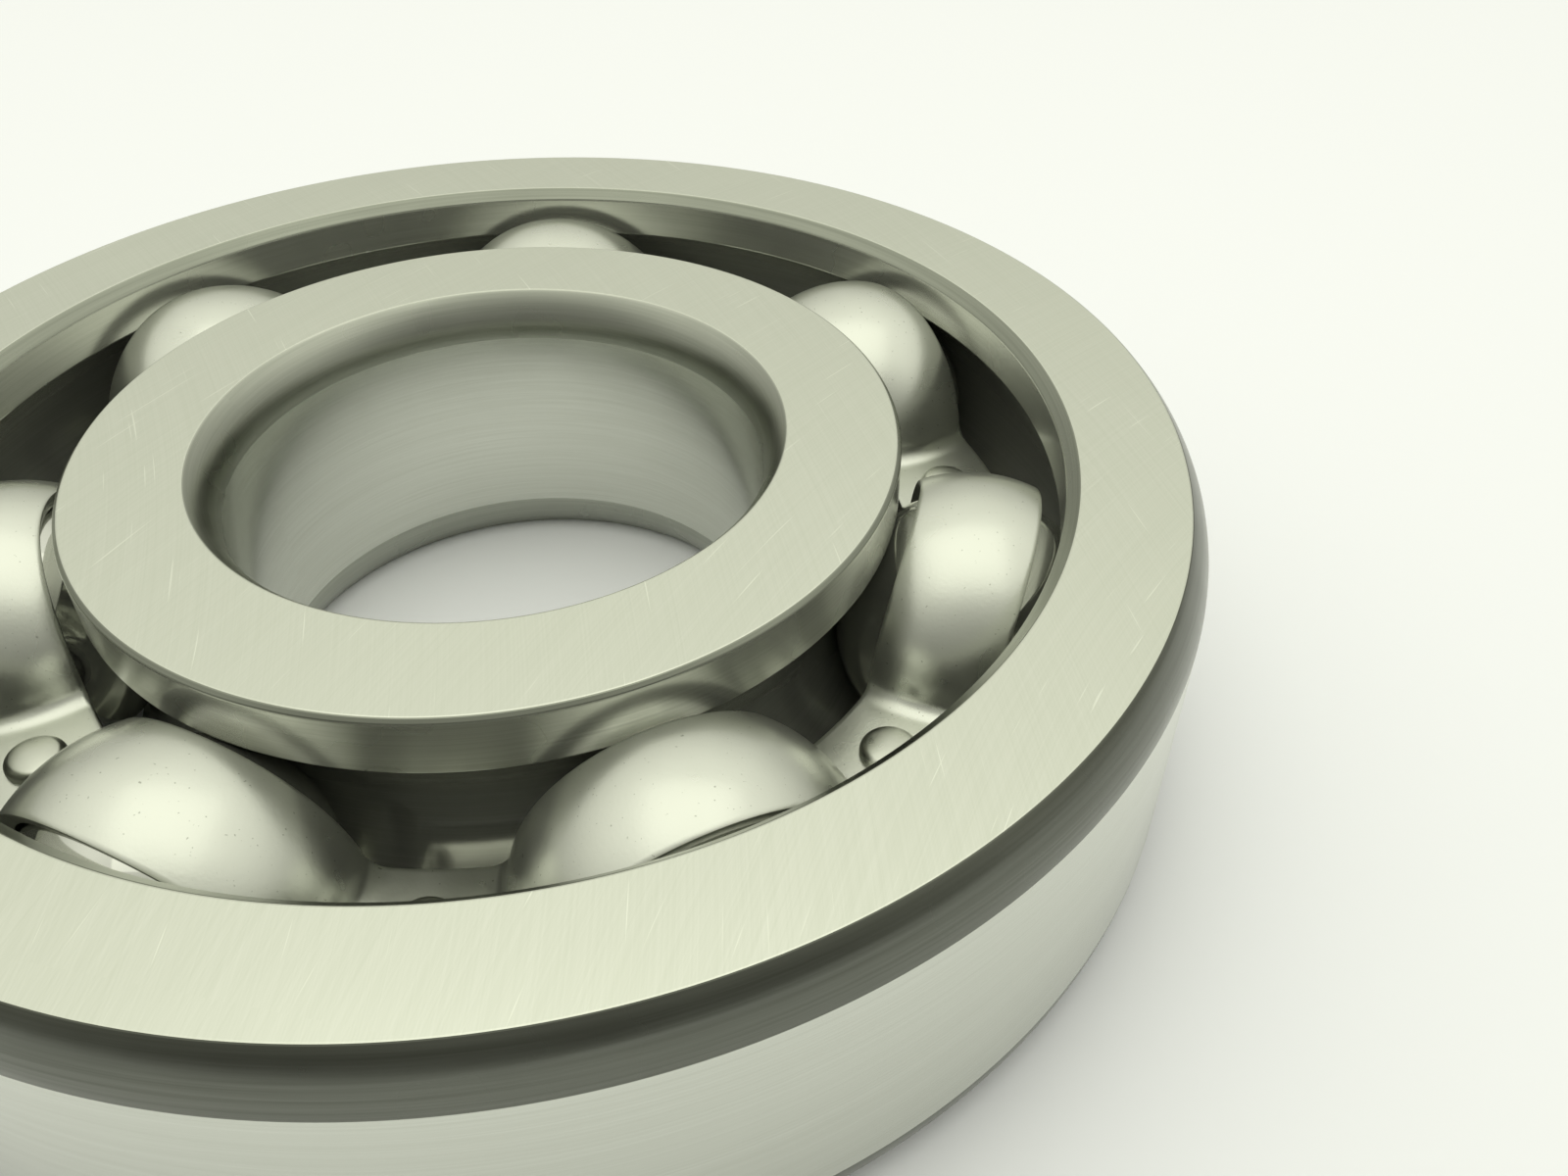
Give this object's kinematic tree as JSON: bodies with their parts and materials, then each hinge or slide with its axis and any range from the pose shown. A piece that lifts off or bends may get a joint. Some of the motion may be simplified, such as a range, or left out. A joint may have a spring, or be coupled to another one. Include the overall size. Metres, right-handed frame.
{
  "type": "ball bearing",
  "caption": "Open single-row deep groove ball bearing: ground steel outer and inner rings, steel balls, and a riveted pressed-steel cage; the inner ring, cage and balls turn.",
  "frame": {"origin": "centre of the bearing, on its axis and midway between its two faces", "axes": "+Z along the axis that the rings turn about; +X through the centre of ball_1 at rest"},
  "size_m": [0.13, 0.13, 0.031],
  "materials": {
    "ring_steel": "ground bearing steel, oiled",
    "ball_steel": "lapped bearing steel, mirror",
    "cage_steel": "pressed cold-rolled strip, satin",
    "rivet_steel": "cold-headed mild steel, satin"
  },
  "bodies": {
    "outer_ring": {"outer_ring": "ring_steel"},
    "inner_ring": {"inner_ring": "ring_steel"},
    "cage": {"cage_upper": "cage_steel", "cage_lower": "cage_steel", "rivet_1": "rivet_steel", "rivet_2": "rivet_steel", "rivet_3": "rivet_steel", "rivet_4": "rivet_steel", "rivet_5": "rivet_steel", "rivet_6": "rivet_steel", "rivet_7": "rivet_steel"},
    "ball_1": {"ball_1": "ball_steel"},
    "ball_2": {"ball_2": "ball_steel"},
    "ball_3": {"ball_3": "ball_steel"},
    "ball_4": {"ball_4": "ball_steel"},
    "ball_5": {"ball_5": "ball_steel"},
    "ball_6": {"ball_6": "ball_steel"},
    "ball_7": {"ball_7": "ball_steel"}
  },
  "joints": [
    {"name": "inner_ring_turn", "type": "hinge", "parent": "outer_ring", "child": "inner_ring", "pos_m": [0, 0, 0], "axis": [0, 0, 1], "continuous": true},
    {"name": "cage_turn", "type": "hinge", "parent": "outer_ring", "child": "cage", "pos_m": [0, 0, 0], "axis": [0, 0, 1], "continuous": true},
    {"name": "ball_1_spin", "type": "hinge", "parent": "cage", "child": "ball_1", "pos_m": [0.045, 0, 0], "axis": [0, 0, 1], "continuous": true},
    {"name": "ball_2_spin", "type": "hinge", "parent": "cage", "child": "ball_2", "pos_m": [0.02806, 0.03518, 0], "axis": [0, 0, 1], "continuous": true},
    {"name": "ball_3_spin", "type": "hinge", "parent": "cage", "child": "ball_3", "pos_m": [-0.01001, 0.04387, 0], "axis": [0, 0, 1], "continuous": true},
    {"name": "ball_4_spin", "type": "hinge", "parent": "cage", "child": "ball_4", "pos_m": [-0.04054, 0.01952, 0], "axis": [0, 0, 1], "continuous": true},
    {"name": "ball_5_spin", "type": "hinge", "parent": "cage", "child": "ball_5", "pos_m": [-0.04054, -0.01952, 0], "axis": [0, 0, 1], "continuous": true},
    {"name": "ball_6_spin", "type": "hinge", "parent": "cage", "child": "ball_6", "pos_m": [-0.01001, -0.04387, 0], "axis": [0, 0, 1], "continuous": true},
    {"name": "ball_7_spin", "type": "hinge", "parent": "cage", "child": "ball_7", "pos_m": [0.02806, -0.03518, 0], "axis": [0, 0, 1], "continuous": true}
  ],
  "couplings": [
    {"joint": "cage_turn", "follows": "inner_ring_turn", "ratio": 0.3633},
    {"joint": "ball_1_spin", "follows": "inner_ring_turn", "ratio": -1.6921},
    {"joint": "ball_2_spin", "follows": "inner_ring_turn", "ratio": -1.6921},
    {"joint": "ball_3_spin", "follows": "inner_ring_turn", "ratio": -1.6921},
    {"joint": "ball_4_spin", "follows": "inner_ring_turn", "ratio": -1.6921},
    {"joint": "ball_5_spin", "follows": "inner_ring_turn", "ratio": -1.6921},
    {"joint": "ball_6_spin", "follows": "inner_ring_turn", "ratio": -1.6921},
    {"joint": "ball_7_spin", "follows": "inner_ring_turn", "ratio": -1.6921}
  ]
}
